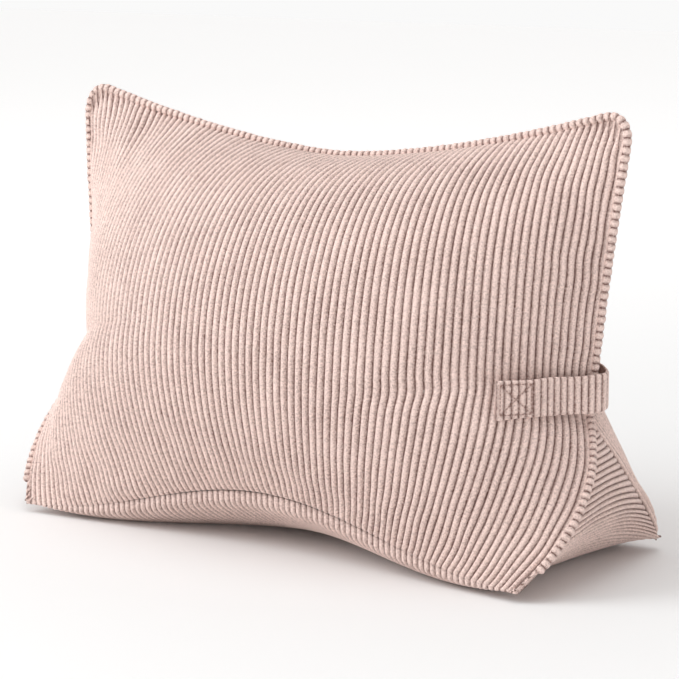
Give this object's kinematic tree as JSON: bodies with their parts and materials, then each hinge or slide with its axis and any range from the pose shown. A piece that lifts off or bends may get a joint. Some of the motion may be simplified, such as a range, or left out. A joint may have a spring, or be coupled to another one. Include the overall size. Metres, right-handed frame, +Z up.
{
  "type": "wedge reading cushion",
  "caption": "Triangular wide-wale corduroy backrest cushion with piped edges, a carrying strap at one side and a zipped, loose-filled inner case.",
  "frame": {"origin": "on the floor plane, under the centre of the bounding box", "axes": "+X along the width towards the strap side, -Y towards the reader who leans on the front panel, +Z up"},
  "size_m": [0.5994, 0.2826, 0.3882],
  "materials": {
    "corduroy": "dusty pink wide-wale corduroy with a short pile",
    "lining": "plain woven white",
    "fibre": "loose polyester fibre",
    "thread": "twisted sewing thread",
    "zip_tape": "fine woven tape",
    "zip_metal": "satin nickel",
    "label": "blank satin ribbon"
  },
  "bodies": {
    "cushion": {"front_panel": "corduroy", "back_panel": "corduroy", "back_hem": "corduroy", "base_panel": "corduroy", "gusset_right": "corduroy", "gusset_left": "corduroy", "liner_front": "lining", "liner_back": "lining", "liner_base": "lining", "liner_gusset_right": "lining", "liner_gusset_left": "lining", "filling": "fibre", "piping_sleeve": "corduroy", "piping_cord": "fibre", "handle_strap": "corduroy", "handle_stitch_front": "thread", "handle_stitch_back": "thread", "zip_tape_lower": "zip_tape", "zip_tape_upper": "zip_tape", "zip_chain_upper": "zip_metal", "zip_chain_lower": "zip_metal", "zip_top_stop_upper": "zip_metal", "zip_top_stop_lower": "zip_metal", "zip_bottom_stop": "zip_metal", "care_label": "label"},
    "zip_slider": {"zip_slider": "zip_metal"},
    "zip_pull": {"zip_pull": "zip_metal"}
  },
  "joints": [
    {"name": "zip_slide", "type": "slide", "parent": "cushion", "child": "zip_slider", "axis": [1, 0, 0], "range_m": [0, 0.4]},
    {"name": "pull_hinge", "type": "hinge", "parent": "zip_slider", "child": "zip_pull", "pos_m": [-0.203, 0.12436, 0.02633], "axis": [0, 0.3512, 0.9363], "range_deg": [0, 175]}
  ]
}
